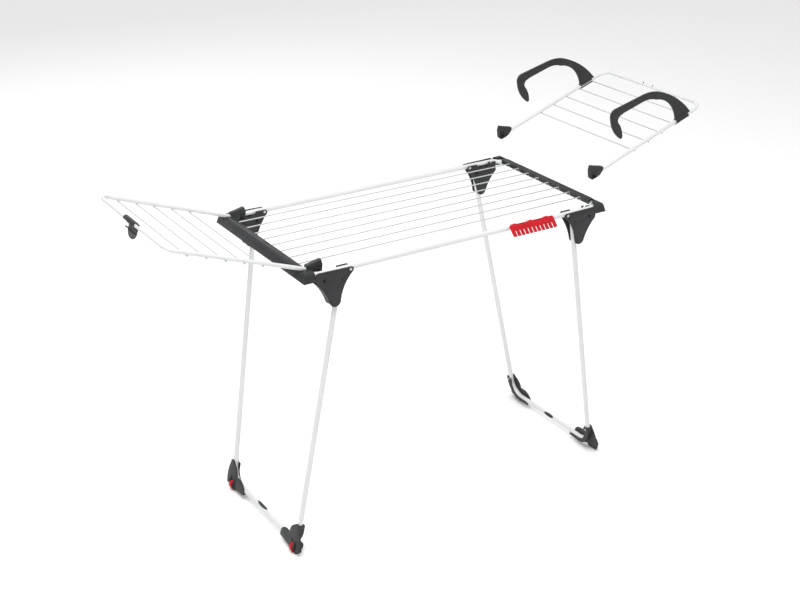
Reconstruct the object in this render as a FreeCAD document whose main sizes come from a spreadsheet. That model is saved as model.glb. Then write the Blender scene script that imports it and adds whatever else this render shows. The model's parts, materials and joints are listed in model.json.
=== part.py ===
"""Folding clothes drying rack: a wire-filled frame on two folding U-legs, with one hinged wing at each end.

Row frame: millimetres, X along the frame, Y across it, Z up, origin on the floor under the middle of the
whole rack. It is drawn standing open: left wing raised on its end bar, right wing lifted out of its sockets
with its two hanging hooks standing up. Shapes are drawn about the middle of the frame, and every sub-part's
Placement then carries it by row_shift.
"""
import FreeCAD
import Part
import math
import os
from FreeCAD import Placement, Rotation, Vector

SIZES = [
    # alias, value, what it is
    ("row_shift", -16.5, "frame middle to the middle of the whole rack, along X"),
    ("rail_radius", 8.0, "main frame and leg tube, outside"),
    ("rail_wall", 1.2, "main frame and leg tube, wall"),
    ("rail_height", 929.5, "main frame tube axis above the floor"),
    ("frame_half_length", 522.0, "middle to the end tubes' axis"),
    ("frame_half_width", 265.0, "middle to the side rails' axis"),
    ("corner_radius", 45.0, "main frame corner bend"),
    ("wire_radius", 1.8, "drying wires"),
    ("wire_pitch", 54.0, "drying wires of the main frame"),
    ("bracket_inner_face", 248.5, "middle to the inner plates' inboard face"),
    ("bracket_outer_face", 279.5, "middle to the outer plates' outboard face"),
    ("plate_thickness", 3.0, "bracket plates"),
    ("leg_pivot_x", 416.5, "middle to the leg pivots"),
    ("leg_pivot_z", 905.0, "leg pivots above the floor"),
    ("leg_drop", 875.0, "leg pivots down to the crossbar axis"),
    ("leg_foot_half_width", 217.0, "middle to the leg axis at the crossbar"),
    ("leg_bend_radius", 55.0, "leg bend into the crossbar"),
    ("left_splay", 9.0, "left legs off the vertical, degrees"),
    ("right_splay", 11.15, "right legs off the vertical, degrees"),
    ("pin_radius", 3.0, "leg pivot pins"),
    ("rivet_radius", 2.4, "rail rivets"),
    ("fit_gap", 0.05, "running fit of a pin in its hole, radial"),
    ("wing_radius", 6.0, "wing tube, outside"),
    ("wing_wall", 1.0, "wing tube, wall"),
    ("wing_half_width", 240.0, "middle to the wing rails' axis"),
    ("wing_reach", 470.0, "wing pivot to the outer bar's axis"),
    ("wing_corner_radius", 38.0, "wing corner bend"),
    ("wing_tilt", 19.9, "raised wing off the horizontal, degrees"),
    ("wing_pivot_x", 474.0, "middle to the wing pivots"),
    ("wing_pivot_z", 929.2, "wing pivots above the floor"),
    ("wing_wire_first", 61.8, "wing outer bar to the first wire"),
    ("wing_wire_pitch", 58.3, "wing wires"),
    ("wing_pin_radius", 4.0, "wing pivot pins"),
    ("lift_travel", 102.6, "right wing above its sockets"),
    ("lift_lean", 19.7, "direction of lifting off the vertical, degrees"),
    ("foot_rise", 70.0, "foot channel up the leg, from the corner of its axis"),
    ("foot_run", 88.0, "foot channel along the crossbar, from the corner of its axis"),
    ("foot_wall", 2.5, "foot channel, wall on the outer side of the bend"),
    ("foot_depth", 12.0, "foot cheeks, out from the leg's plane"),
    ("wheel_radius", 17.0, "transport wheels"),
    ("wheel_width", 14.0, "transport wheels"),
    ("wheel_out", 5.5, "crossbar axis to the wheel axle, outboard"),
    ("wheel_from_middle", 210.0, "middle to the wheels' middle, along Y"),
    ("wheel_height", 18.0, "wheel axle above the floor"),
    ("axle_radius", 2.5, "wheel axles"),
    ("hook_thickness", 8.0, "hanging hooks, across the wing"),
    ("holder_length", 165.0, "sock holder along the rail"),
    ("holder_x", 250.0, "middle to the sock holder's middle"),
]
WIRES_PER_SIDE = 4
WING_WIRES = 5
SIDES = {"left": -1, "right": 1}
ENDS = {"front": -1, "back": 1}
Y_AXIS = Vector(0, 1, 0)
Z_AXIS = Vector(0, 0, 1)
CLEAR = 0.3  # gap between parts that slide or turn past each other
SMALL = 0.15  # gap between parts of one piece of the rack
VIA = "via"  # marks an outline point that an arc passes through on its way to the next one

doc = FreeCAD.newDocument("drying_rack")
sheet = doc.addObject("Spreadsheet::Sheet", "Sizes")
for row, (alias, value, note) in enumerate(SIZES, start=1):
    sheet.set(f"A{row}", note)
    sheet.set(f"B{row}", str(value))
    sheet.setAlias(f"B{row}", alias)
doc.recompute()

made = []


def mm(alias):
    """A size from the sheet, as a number."""
    return float(sheet.get(alias))


def sub_part(obj, label, at=(0, 0, 0), turn=None):
    """Names a sub-part, places it and keeps it for export."""
    obj.Label = label
    obj.Placement = Placement(Vector(*at) + Vector(mm("row_shift"), 0, 0), turn or Rotation())
    made.append(obj)
    return obj


def feature(shape, label, at=(0, 0, 0), turn=None):
    """A sub-part whose shape is worked out in this file from the sheet."""
    obj = doc.addObject("Part::Feature", label)
    obj.Shape = shape
    own = shape.Placement
    sub_part(obj, label, at, turn)
    obj.Placement = obj.Placement.multiply(own)
    return obj


def group(objects, label):
    """Several like solids as one sub-part."""
    obj = doc.addObject("Part::Compound", label)
    obj.Links = objects
    return sub_part(obj, label)


def rod(name, radius, length, start, direction):
    """A Part::Cylinder from start along direction; radius and length are expressions on the sheet."""
    obj = doc.addObject("Part::Cylinder", name)
    obj.setExpression("Radius", radius)
    obj.setExpression("Height", length)
    obj.Placement = Placement(Vector(*start), Rotation(Z_AXIS, Vector(*direction)))
    return obj


def cylinder(radius, start, end):
    """A plain cylinder shape between two points."""
    start, end = Vector(*start), Vector(*end)
    return Part.makeCylinder(radius, start.distanceToPoint(end), start, end - start)


def ring(inner, outer, start, end):
    """A plain tube shape between two points."""
    return cylinder(outer, start, end).cut(cylinder(inner, start, end))


def block(low, high):
    """A box shape from its lowest to its highest corner."""
    low, high = Vector(*low), Vector(*high)
    size = high - low
    return Part.makeBox(size.x, size.y, size.z, low)


def curves(points, at):
    """Lines and arcs round a closed outline; at turns each outline point into a position."""
    found = []
    here, via = points[0], None
    for point in points[1:] + points[:1]:
        if point[-1] == VIA:
            via = point
            continue
        if via:
            found.append(Part.Arc(at(here), at(via), at(point)))
        else:
            found.append(Part.LineSegment(at(here), at(point)))
        here, via = point, None
    return found


def closed_wire(points, at):
    return Part.Wire([curve.toShape() for curve in curves(points, at)])


def prism(points, y_low, y_high):
    """A plate whose outline lies in an XZ plane, between two values of Y."""
    face = Part.Face(closed_wire(points, lambda p: Vector(p[0], y_low, p[1])))
    return face.extrude(Vector(0, y_high - y_low, 0))


def side_prism(points, x_low, x_high):
    """A plate whose outline lies in a YZ plane, between two values of X."""
    face = Part.Face(closed_wire(points, lambda p: Vector(x_low, p[0], p[1])))
    return face.extrude(Vector(x_high - x_low, 0, 0))


def mirrored(shape, normal):
    """The shape reflected in the middle plane with that normal."""
    return shape.mirror(Vector(0, 0, 0), Vector(*normal))


def bent_path(points, radius):
    """Straight runs through points, joined by arcs of one radius."""
    points = [Vector(*p) for p in points]
    edges = []
    here = points[0]
    for before, corner, after in zip(points, points[1:], points[2:]):
        way_in = (before - corner).normalize()
        way_out = (after - corner).normalize()
        half = way_in.getAngle(way_out) / 2
        back = radius / math.tan(half)
        bisector = (way_in + way_out).normalize()
        middle = corner + bisector * (radius / math.sin(half) - radius)
        start, end = corner + way_in * back, corner + way_out * back
        edges.append(Part.makeLine(here, start))
        edges.append(Part.Arc(start, middle, end).toShape())
        here = end
    edges.append(Part.makeLine(here, points[-1]))
    return Part.Wire(edges)


def sweep(name, path, radius, start, direction):
    """A Part::Sweep of a circle along a path object; radius is an expression on the sheet."""
    circle = doc.addObject("Part::Circle", name + "_circle")
    circle.setExpression("Radius", radius)
    circle.Placement = Placement(start, Rotation(Z_AXIS, direction))
    obj = doc.addObject("Part::Sweep", name)
    obj.Sections = [circle]
    obj.Spine = (path, [f"Edge{n + 1}" for n in range(len(path.Shape.Edges))])
    obj.Solid = True
    obj.Frenet = False
    return obj


def bent_tube(name, points, bend, radius, wall):
    """A hollow tube bent through points: outside sweep less inside sweep."""
    path = doc.addObject("Part::Feature", name + "_path")
    path.Shape = bent_path(points, mm(bend))
    start = Vector(*points[0])
    direction = Vector(*points[1]) - start
    tube = doc.addObject("Part::Cut", name)
    tube.Base = sweep(name + "_outside", path, f"Sizes.{radius}", start, direction)
    tube.Tool = sweep(name + "_inside", path, f"Sizes.{radius} - Sizes.{wall}", start, direction)
    return tube


def drilled(obj, name, cutters):
    """The object less its cross holes."""
    holes = doc.addObject("Part::Compound", name + "_holes")
    holes.Links = cutters
    cut = doc.addObject("Part::Cut", name + "_drilled")
    cut.Base = obj
    cut.Tool = holes
    return cut


def checked(objects):
    """Stops with a message if any object failed to build."""
    for obj in doc.Objects:
        if "Invalid" in obj.State or "Error" in obj.State:
            raise RuntimeError(f"{obj.Label} failed: {obj.State}")
    for obj in objects:
        if obj.Shape.isNull() or not obj.Shape.isValid() or not obj.Shape.Solids:
            raise RuntimeError(f"{obj.Label} has no valid solid")


# ---------------------------------------------------------------- main frame

RIVET_X = 388.0  # middle of the frame to the rail rivets
CLIP_INNER, CLIP_OUTER = 232.5, 247.5  # the wing clips lie between these distances from the middle
SCREW_AT = (473.0, 911.0)  # bracket screws, |X| and Z


def frame_tubes():
    """Front and back rails, each bent round to the middle of both end tubes."""
    length, width, height = mm("frame_half_length"), mm("frame_half_width"), mm("rail_height")
    joint_gap = 0.1
    for end, sign in ENDS.items():
        y_mid = sign * joint_gap / 2
        points = [
            (-length, y_mid, height),
            (-length, sign * width, height),
            (length, sign * width, height),
            (length, y_mid, height),
        ]
        name = f"{end}_rail_tube"
        tube = bent_tube(name + "_bent", points, "corner_radius", "rail_radius", "rail_wall")
        holes = []
        for side, out in SIDES.items():
            start = (out * RIVET_X, sign * width - 12, height)
            holes.append(rod(f"{name}_{side}_hole", "Sizes.rivet_radius", "24", start, (0, 1, 0)))
        sub_part(drilled(tube, name, holes), name)


def tube_joiners():
    """Plugs inside the end tubes that hold the two bent halves together."""
    reach = 32
    joiners = []
    for side, out in SIDES.items():
        start = (out * mm("frame_half_length"), -reach, mm("rail_height"))
        radius = "Sizes.rail_radius - Sizes.rail_wall - Sizes.fit_gap"
        joiners.append(rod(f"joiner_{side}", radius, str(2 * reach), start, (0, 1, 0)))
    group(joiners, "tube_joiners")


def frame_wires():
    """Drying wires along the frame, welded on top of the end tubes."""
    overhang = 2.0
    start_x = -mm("frame_half_length") - overhang
    z = mm("rail_height") + mm("rail_radius") + mm("wire_radius")
    length = f"2 * (Sizes.frame_half_length + {overhang})"
    wires = []
    for n in range(2 * WIRES_PER_SIDE):
        y = (n - WIRES_PER_SIDE + 0.5) * mm("wire_pitch")
        wires.append(rod(f"frame_wire_{n + 1}", "Sizes.wire_radius", length, (start_x, y, z), (1, 0, 0)))
    group(wires, "frame_wires")


def wing_line(out, distance):
    """A point on a docked wing's rail axis in the XZ plane, at a distance from its pivot."""
    tilt = math.radians(mm("wing_tilt"))
    x = mm("wing_pivot_x") + distance * math.cos(tilt)
    return Vector(out * x, 0, mm("wing_pivot_z") + distance * math.sin(tilt))


# sections of an end bar: outward from the end tube's axis, and above it
BAR_OUT, BAR_SKIRT, BAR_IN = 16.0, -14.5, -11.0
END_BAR_RUN = [
    (BAR_OUT, BAR_SKIRT), (9.5, 9.5), (0, 15, VIA), (BAR_IN, 13.8), (-60, 13.8), (-60, BAR_SKIRT),
]
END_BAR_HOLLOW = [
    (-20, 12), (BAR_IN, 12), (0, 13, VIA), (7.4, 8), (12.2, -8.6), (4, -8.6), (4, -10.6), (12.7, -10.6),
    (13.6, BAR_SKIRT), (13.6, -20), (-20, -20),
]
END_BAR_RIM = [(-10.8, 13.8), (BAR_IN, 13.8), (-14.5, 12.5), (-14.5, -1), (-13, -1), (-13, 11), (-10.8, 12.1)]
CORNER_TRAY = [(13, -8.6), (-13, -8.6), (-13, -3), (-14.5, -3), (-14.5, -10.6), (12.9, -10.6)]
BAR_START_X = 500.4  # where the end bars' arms begin, just outboard of the brackets


def bar_sweep(section):
    """A section carried along the end tube and round both its corners."""
    length, width, height = mm("frame_half_length"), mm("frame_half_width"), mm("rail_height")
    bend = mm("corner_radius") - 0.001
    start_x = length - mm("corner_radius")
    wire = closed_wire(section, lambda p: Vector(start_x, -width - p[0], height + p[1]))
    path = bent_path([(start_x, -width, height), (length, -width, height), (length, width, height),
                      (start_x, width, height)], bend)
    return path.makePipeShell([wire], True, False)


def bar_blank():
    """Outside of an end bar: square corners outside, the tube's own bend along its inner edge."""
    length, width, height = mm("frame_half_length"), mm("frame_half_width"), mm("rail_height")
    half, bend = width + BAR_OUT, mm("corner_radius")
    run = prism([(length + p[0], height + p[1], *p[2:]) for p in END_BAR_RUN], -half, half)
    flank = [(half, BAR_SKIRT), (width + 9.5, 9.5), (width, 15.2)]
    flanks = [(y, height + w) for y, w in flank] + [(-y, height + w) for y, w in reversed(flank)]
    blank = run.common(side_prism(flanks, BAR_START_X, length + BAR_OUT))
    in_x, in_y, inner_bend = length + BAR_IN, width + BAR_IN, bend + BAR_IN
    slant = inner_bend * (1 - math.sqrt(0.5))
    opening = [
        (in_x, in_y - inner_bend), (in_x - slant, in_y - slant, VIA), (in_x - inner_bend, in_y),
        (400, in_y), (400, -in_y), (in_x - inner_bend, -in_y), (in_x - slant, slant - in_y, VIA),
        (in_x, inner_bend - in_y),
    ]
    face = Part.Face(closed_wire(opening, lambda p: Vector(p[0], p[1], height - 50)))
    return blank.cut(face.extrude(Vector(0, 0, 100)))


def bar_rim():
    """Turned-down inner edge of an end bar: slots for the drying wires, and a long window between them."""
    height, length = mm("rail_height"), mm("frame_half_length")
    half = CLIP_INNER - 0.5
    rim = prism([(length + n, height + w) for n, w in END_BAR_RIM], -half, half)
    wire_z, pitch = height + mm("rail_radius") + mm("wire_radius"), mm("wire_pitch")
    slot = mm("wire_radius") + CLEAR
    near, far, below = length - 20, length - 11.5, height - 5
    window_low, window_high, post = height + 6.6, height + 8.4, slot + 2.0
    for n in range(2 * WIRES_PER_SIDE):
        y = (n - WIRES_PER_SIDE + 0.5) * pitch
        rim = rim.cut(cylinder(slot, (near, y, wire_z), (far, y, wire_z)))
        rim = rim.cut(block((near, y - slot, below), (far, y + slot, wire_z)))
        if n:
            rim = rim.cut(block((near, y - pitch + post, window_low), (far, y - post, window_high)))
    return rim


def end_bar(side, out):
    """Plastic channel over one end tube and both its corners, open inward, notched for the wing's rails."""
    tray = bar_sweep(CORNER_TRAY).cut(block((400, -CLIP_OUTER, 800), (600, CLIP_OUTER, 1000)))
    shell = bar_blank().cut(bar_sweep(END_BAR_HOLLOW)).fuse([bar_rim(), tray])
    shell = shell.common(block((BAR_START_X, -400, 800), (600, 400, 1000))).removeSplitter()
    # notches that the wing's rails rest in, open upward
    notch_half = mm("wing_radius") + 1.5
    drop = Vector(0, 0, mm("wing_radius") + 1.2)
    under, far = wing_line(1, 20) - drop, wing_line(1, 90) - drop
    top = 1000.0
    for sign in ENDS.values():
        y = sign * mm("wing_half_width")
        notch = [(under.x, under.z), (far.x, far.z), (far.x, top), (under.x, top)]
        shell = shell.cut(prism(notch, y - notch_half, y + notch_half))
    if out < 0:
        shell = mirrored(shell, (1, 0, 0))
    feature(shell, f"end_bar_{side}")


# ---------------------------------------------------------------- leg brackets


def sketch_on(body, name, edges, y):
    """A sketch of one body on its XZ plane, moved to a value of Y."""
    plane = next(f for f in body.Origin.OriginFeatures if f.Role == "XZ_Plane")
    sketch = body.newObject("Sketcher::SketchObject", name)
    sketch.AttachmentSupport = [(plane, "")]
    sketch.MapMode = "FlatFace"
    sketch.AttachmentOffset = Placement(Vector(0, 0, -y), Rotation())
    for edge in edges:
        sketch.addGeometry(edge, False)
    return sketch


def pad(body, name, sketch, length, toward_plus_y):
    """A pad of a sketch on the XZ plane, whose own normal points to -Y."""
    obj = body.newObject("PartDesign::Pad", name)
    obj.Profile = sketch
    obj.setExpression("Length", length)
    obj.Reversed = toward_plus_y
    return obj


def pocket_through(body, name, sketch):
    obj = body.newObject("PartDesign::Pocket", name)
    obj.Profile = sketch
    obj.Type = "ThroughAll"
    obj.Midplane = True
    return obj


def flat(out, points):
    """Sketch curves of an outline given as |X| and Z."""
    return curves(points, lambda p: Vector(out * p[0], p[1], 0))


def flat_circle(out, centre, radius):
    return Part.Circle(Vector(out * centre[0], centre[1], 0), Z_AXIS, radius)


TIP_OUT, HEEL = (455, 834), (497, 903)  # outboard edge of the brackets, |X| and Z
TIP_IN = (421.5, 838)
EDGE_BULGE = (471, 870)

# outer plate: straight top under the rail's line, drawn in to a rounded tip round the leg
OUTER_PLATE = [
    (489, 938), (386, 936), (378, 931, VIA), (380, 922), (409, 882, VIA), TIP_IN, (436, 824.5, VIA), TIP_OUT,
    (*EDGE_BULGE, VIA), HEEL, (500, 926), (497.5, 935, VIA),
]


def inner_outline():
    """Inner plate: the same tip, with the rail showing between its rivet tab and its socket tab."""
    rivet_tab = [(384, 935.5), (418, 935.5), (420, 924)]
    socket_tab = [(462, 924), (465, 937)] + socket_slot() + [(494.5, 934)]
    tip = [HEEL, (*EDGE_BULGE, VIA), TIP_OUT, (436, 824.5, VIA), TIP_IN, (406, 882, VIA), (380, 922)]
    return rivet_tab + socket_tab + tip + [(379.5, 931, VIA)]


def socket_slot():
    """The open slot for a wing pivot pin: its two lips, two sides and round seat, along the lifting way."""
    lean = math.radians(mm("lift_lean"))
    along, across = (math.sin(lean), math.cos(lean)), (math.cos(lean), -math.sin(lean))
    centre = (mm("wing_pivot_x"), mm("wing_pivot_z"))
    half = mm("wing_pin_radius") + 0.2
    mouth = 7.5

    def at(up, side):
        return tuple(c + up * a + side * b for c, a, b in zip(centre, along, across))

    return [at(mouth, -half), at(0, -half), (*at(-half, 0), VIA), at(0, half), at(mouth, half)]


def leg_stop(out, splay):
    """Outline of the block that a leg comes to rest on when it is spread."""
    angle = math.radians(splay)
    down, outward = (math.sin(angle), -math.cos(angle)), (math.cos(angle), math.sin(angle))
    pivot = (mm("leg_pivot_x"), mm("leg_pivot_z"))
    face = mm("rail_radius") + 0.1
    high, low = 52.0, 66.0

    def at(along, side):
        return tuple(p + along * d + side * o for p, d, o in zip(pivot, down, outward))

    return flat(out, [at(high, face), at(low, face), at(low, face + 16), at(high, face + 20)])


def bracket_web(out):
    """The wall along the outboard edge that joins the outer plate to the inner one."""
    wall = 2.6
    inside = [(HEEL[0] - wall, HEEL[1] + 1.6), (EDGE_BULGE[0] - wall, EDGE_BULGE[1] + 1, VIA),
              (TIP_OUT[0] - wall, TIP_OUT[1] + 1)]
    return flat(out, [TIP_OUT, (*EDGE_BULGE, VIA), HEEL] + inside)


def bracket_holes(out):
    pivot = (mm("leg_pivot_x"), mm("leg_pivot_z"))
    return [
        flat_circle(out, pivot, mm("pin_radius")),
        flat_circle(out, (RIVET_X, mm("rail_height")), mm("rivet_radius")),
        flat_circle(out, SCREW_AT, 2.0),
    ]


def leg_bracket(side, out, end, sign):
    """Outer shell with its web and leg stop, and the flat inner plate."""
    name = f"leg_bracket_{side}_{end}"
    face = sign * (mm("bracket_outer_face") - mm("plate_thickness"))
    outer = doc.addObject("PartDesign::Body", name + "_outer")
    plate = sketch_on(outer, name + "_plate", flat(out, OUTER_PLATE), face)
    pad(outer, name + "_plate_pad", plate, "Sizes.plate_thickness", sign > 0)
    depth = "Sizes.bracket_outer_face - Sizes.bracket_inner_face - 2 * Sizes.plate_thickness - 0.15"
    web = sketch_on(outer, name + "_web", bracket_web(out), face)
    pad(outer, name + "_web_pad", web, depth, sign < 0)
    stop = sketch_on(outer, name + "_stop", leg_stop(out, mm(f"{side}_splay")), face)
    pad(outer, name + "_stop_pad", stop, depth, sign < 0)
    holes = sketch_on(outer, name + "_outer_holes", bracket_holes(out), face)
    pocket_through(outer, name + "_outer_pocket", holes)
    sub_part(outer, name + "_outer")

    inner = doc.addObject("PartDesign::Body", name + "_inner")
    face = sign * (mm("bracket_inner_face") + mm("plate_thickness"))
    plate = sketch_on(inner, name + "_inner_plate", flat(out, inner_outline()), face)
    pad(inner, name + "_inner_pad", plate, "Sizes.plate_thickness", sign < 0)
    holes = sketch_on(inner, name + "_inner_holes", bracket_holes(out), face)
    pocket_through(inner, name + "_inner_pocket", holes)
    sub_part(inner, name + "_inner")


def bracket_fasteners():
    """Rail rivets, bracket screws and leg pivot pins, each with a low head on the outer face."""
    inner, outer = mm("bracket_inner_face"), mm("bracket_outer_face")
    pivot = (mm("leg_pivot_x"), mm("leg_pivot_z"))
    kinds = {
        "rail_rivets": ((RIVET_X, mm("rail_height")), mm("rivet_radius"), 4.4, 4.4),
        "bracket_screws": (SCREW_AT, 2.0, 3.8, 0.0),
        "leg_pivot_pins": (pivot, mm("pin_radius"), 0.0, 4.6),
    }
    for label, ((x, z), shank, outer_head, inner_head) in kinds.items():
        solids = []
        for out in SIDES.values():
            for sign in ENDS.values():
                solid = cylinder(shank, (out * x, sign * inner, z), (out * x, sign * outer, z))
                for face, way, head in ((outer, 1, outer_head), (inner, -1, inner_head)):
                    if head:
                        y_low, y_high = sign * face, sign * (face + way * 1.2)
                        cap = cylinder(head, (out * x, y_low, z), (out * x, y_high, z))
                        solid = solid.fuse(cap)
                solids.append(solid.removeSplitter())
        feature(Part.makeCompound(solids), label)


def wing_pins(side, out, base=(0, 0, 0)):
    """The two pivot pins of one wing, which sit in the slots of the inner plates."""
    x, z = out * mm("wing_pivot_x"), mm("wing_pivot_z")
    head_start, shank_start, shank_end = 230.0, 231.5, 254.0
    solids = []
    for sign in ENDS.values():
        pin = cylinder(mm("wing_pin_radius"), (x, sign * shank_start, z), (x, sign * shank_end, z))
        head = cylinder(6.5, (x, sign * head_start, z), (x, sign * shank_start, z))
        solids.append(pin.fuse(head).removeSplitter())
    feature(Part.makeCompound(solids), f"{side}_wing_pins", base)


# ---------------------------------------------------------------- wings


def wing_point(out, along, above=0.0, pivot=None):
    """A point in the plane of a wing: along its rail from the pivot, and above the rail's axis."""
    tilt = math.radians(mm("wing_tilt"))
    pivot = pivot or wing_line(out, 0)
    x = along * math.cos(tilt) - above * math.sin(tilt)
    z = along * math.sin(tilt) + above * math.cos(tilt)
    return Vector(pivot.x + out * x, 0, pivot.z + z)


def wing_turn(out):
    """Carries a wing drawn flat along +X from its pivot to its raised place."""
    tilt = mm("wing_tilt")
    if out > 0:
        return Rotation(Y_AXIS, -tilt)
    return Rotation(Y_AXIS, tilt).multiply(Rotation(Z_AXIS, 180))


RAIL_START = 9.0  # wing pivot to the tube's end, along the rail


def wing_tube(side, out, pivot):
    """U-shaped wing tube, drawn flat with the pivot axis at the origin."""
    half, reach = mm("wing_half_width"), mm("wing_reach")
    points = [(RAIL_START, -half, 0), (reach, -half, 0), (reach, half, 0), (RAIL_START, half, 0)]
    name = f"{side}_wing_tube"
    tube = bent_tube(name, points, "wing_corner_radius", "wing_radius", "wing_wall")
    sub_part(tube, name, pivot, wing_turn(out))


def wing_wires(side, out, pivot):
    """Drying wires across a wing, welded under its rails with their ends showing."""
    z = -mm("wing_radius") - mm("wire_radius")
    length = "2 * Sizes.wing_half_width + 8"
    wires = []
    for n in range(WING_WIRES):
        x = mm("wing_reach") - mm("wing_wire_first") - n * mm("wing_wire_pitch")
        start = (x, -mm("wing_half_width") - 4, z)
        wires.append(rod(f"{side}_wing_wire_{n + 1}", "Sizes.wire_radius", length, start, (0, 1, 0)))
    obj = doc.addObject("Part::Compound", f"{side}_wing_wires")
    obj.Links = wires
    sub_part(obj, f"{side}_wing_wires", pivot, wing_turn(out))


# fin of a wing clip about the pivot: X outboard, Z up, for a raised wing
WING_CLIP = [
    (-14, 20), (-10, 35), (13, 29.6, VIA), (36.5, 25), (37, 17), (33, 9.5), (25, 0), (14, -5.5), (-4, -11),
    (-11, -4),
]


def wing_clip(side, out, end, sign, pivot):
    """Fin-shaped end of a wing rail, bored for the pivot pin and for the tube."""
    solid = prism(WING_CLIP, CLIP_INNER, CLIP_OUTER)
    tilt = math.radians(mm("wing_tilt"))
    half = mm("wing_half_width")
    way = Vector(math.cos(tilt), 0, math.sin(tilt))
    seat = Vector(0, half, 0)
    bore_start, bore_end = seat + way * RAIL_START, seat + way * 60
    solid = solid.cut(cylinder(mm("wing_radius") + SMALL, tuple(bore_start - way * SMALL), tuple(bore_end)))
    solid = solid.cut(cylinder(mm("wing_pin_radius") + mm("fit_gap"), (0, 200, 0), (0, 260, 0)))
    for x, z in CLIP_RIVETS:
        solid = solid.cut(cylinder(1.5, (x, 200, z), (x, 260, z)))
    if out < 0:
        solid = mirrored(solid, (1, 0, 0))
    if sign < 0:
        solid = mirrored(solid, (0, 1, 0))
    feature(solid, f"{side}_wing_clip_{end}", pivot)


CLIP_RIVETS = [(2, 14), (-6, 14)]  # rivets of a wing clip, X outboard and Z from the pivot


def clip_rivets(side, out, pivot):
    """Small rivets through both clips of one wing."""
    solids = []
    for sign in ENDS.values():
        for x, z in CLIP_RIVETS:
            start, end = sign * (CLIP_INNER - 0.8), sign * CLIP_OUTER
            shank = cylinder(1.5, (out * x, start, z), (out * x, end, z))
            head = cylinder(2.4, (out * x, start, z), (out * x, sign * CLIP_INNER, z))
            solids.append(shank.fuse(head).removeSplitter())
    feature(Part.makeCompound(solids), f"{side}_wing_rivets", pivot)


# tongue of the latch about the bar it hangs on: Y and Z
LATCH_TONGUE = [
    (14, -6.7), (17, -15.5), (27, -31), (28.2, -43, VIA), (21, -53), (2, -53), (-21, -41, VIA), (-37, -22.5),
    (-49, -6.7),
]


def wing_latch():
    """Clip that hangs on the left wing's outer bar: saddle, collar and shield-shaped tongue with a peg."""
    bore, wall, half_plate = mm("wing_radius") + CLEAR, 2.0, 1.5
    outer = bore + wall
    saddle_front, saddle_back, saddle_rim = -36.0, 38.0, -1.0
    saddle = ring(bore, outer, (0, saddle_front, 0), (0, saddle_back, 0))
    saddle = saddle.cut(block((-20, -50, -20), (20, 50, saddle_rim)))
    collar_front, collar_back = -12.0, 14.0
    collar = ring(bore, outer, (0, collar_front, 0), (0, collar_back, 0))
    spike_half, spike_tip = 2.0, -60.0
    spike = block((-spike_half, spike_tip, outer - wall), (spike_half, saddle_front + 1, outer))
    tongue = side_prism(LATCH_TONGUE, -half_plate, half_plate)
    rib_front, rib_back, rib_low, rib_high, rib_stand = -26.0, 20.0, -30.0, -27.0, 1.5
    rib = block((-half_plate - rib_stand, rib_front, rib_low), (-half_plate + 0.1, rib_back, rib_high))
    peg_radius, peg_root, peg_tip = 2.2, (0, 20, -26), (0, 45, -28)
    peg = cylinder(peg_radius, peg_root, peg_tip)
    solid = saddle.fuse([collar, spike, tongue, rib, peg]).cut(cylinder(bore, (0, -80, 0), (0, 80, 0)))
    at = wing_point(-1, mm("wing_reach"))
    feature(solid.removeSplitter(), "left_wing_latch", tuple(at))


def bar_plugs(pivot):
    """Two small plugs in the top of the right wing's outer bar that a latch can seat between."""
    tilt = math.radians(mm("wing_tilt"))
    up = Vector(-math.sin(tilt), 0, math.cos(tilt))
    bar = wing_point(1, mm("wing_reach"), 0, Vector(0, 0, 0))
    plug_radius, plug_height = 2.2, 1.2
    solids = []
    for y in (-8.0, 38.0):
        foot = bar + Vector(0, y, 0) + up * (mm("wing_radius") + 0.05)
        solids.append(cylinder(plug_radius, tuple(foot), tuple(foot + up * plug_height)))
    feature(Part.makeCompound(solids), "right_wing_bar_plugs", pivot)


# ---------------------------------------------------------------- hanging hooks

HOOK_BASE = (353.5, 404.5)  # the hooks' base on the rail: distances along it from the pivot


# hook about the right wing's pivot: X outboard, Z up
HOOK = [
    (331, 127), (394, 142), (338, 192, VIA), (250, 231.7), (219, 234.5, VIA), (189, 230.7), (75.9, 201.7),
    (62.5, 191, VIA), (60.5, 172), (72, 136, VIA), (104.4, 101.7), (109.9, 106.2), (105.5, 131, VIA),
    (90.5, 156), (88, 168, VIA), (95, 178), (110, 185.5), (187, 209.2), (214, 212.5, VIA), (240, 207.5),
    (300, 184, VIA),
]


def hook_sleeve(half, sign):
    """Upper or lower half of the sleeve by which a hook turns on the rail, open toward the rack's middle."""
    tilt = math.radians(mm("wing_tilt"))
    way = Vector(math.cos(tilt), 0, math.sin(tilt))
    start, end = way * HOOK_BASE[0], way * HOOK_BASE[1]
    bore = mm("wing_radius") + CLEAR
    sleeve = ring(bore, bore + 2.6, tuple(start), tuple(end))
    plate = Part.makeBox(120, 40, 20, Vector(-60, -20, 0.4 if half > 0 else -20.4))
    mouth = Part.makeBox(120, 20, 6.4, Vector(-60, -20 if sign > 0 else 0, -3.2))
    for tool in (plate, mouth):
        tool.rotate(Vector(0, 0, 0), Y_AXIS, -mm("wing_tilt"))
        tool.translate((start + end) * 0.5)
    return sleeve.common(plate).cut(mouth)


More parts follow.
